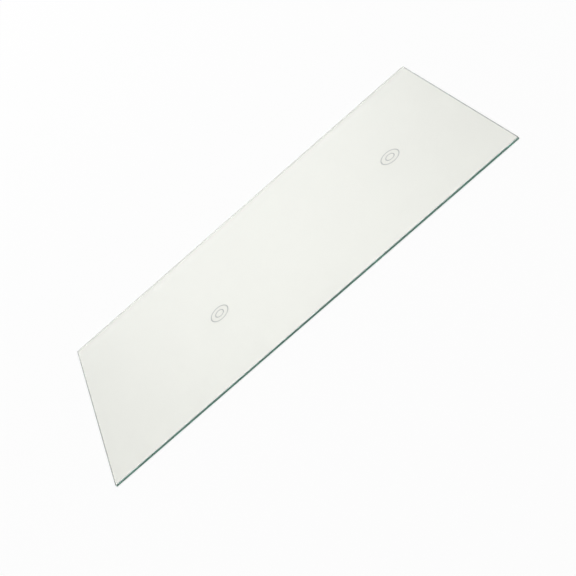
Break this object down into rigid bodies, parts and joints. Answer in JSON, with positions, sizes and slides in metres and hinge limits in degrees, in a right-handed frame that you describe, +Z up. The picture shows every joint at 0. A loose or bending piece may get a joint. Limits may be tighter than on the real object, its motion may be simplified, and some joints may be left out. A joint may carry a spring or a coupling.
{
  "type": "fridge glass shelf",
  "caption": "Flat rectangular glass shelf for a refrigerator, with ground and arrised edges and small rounded corners, that lies loose on the ribs of the cabinet walls.",
  "frame": {"origin": "middle of the underside", "axes": "+X across the cabinet along the long edges, +Y from the door edge to the rear edge, +Z up through the glass"},
  "size_m": [0.52, 0.26, 0.0032],
  "materials": {
    "glass": "clear toughened float glass, polished faces, finely ground edges with a grey-green look"
  },
  "bodies": {
    "root": {"glass_pane": "glass"}
  },
  "joints": []
}
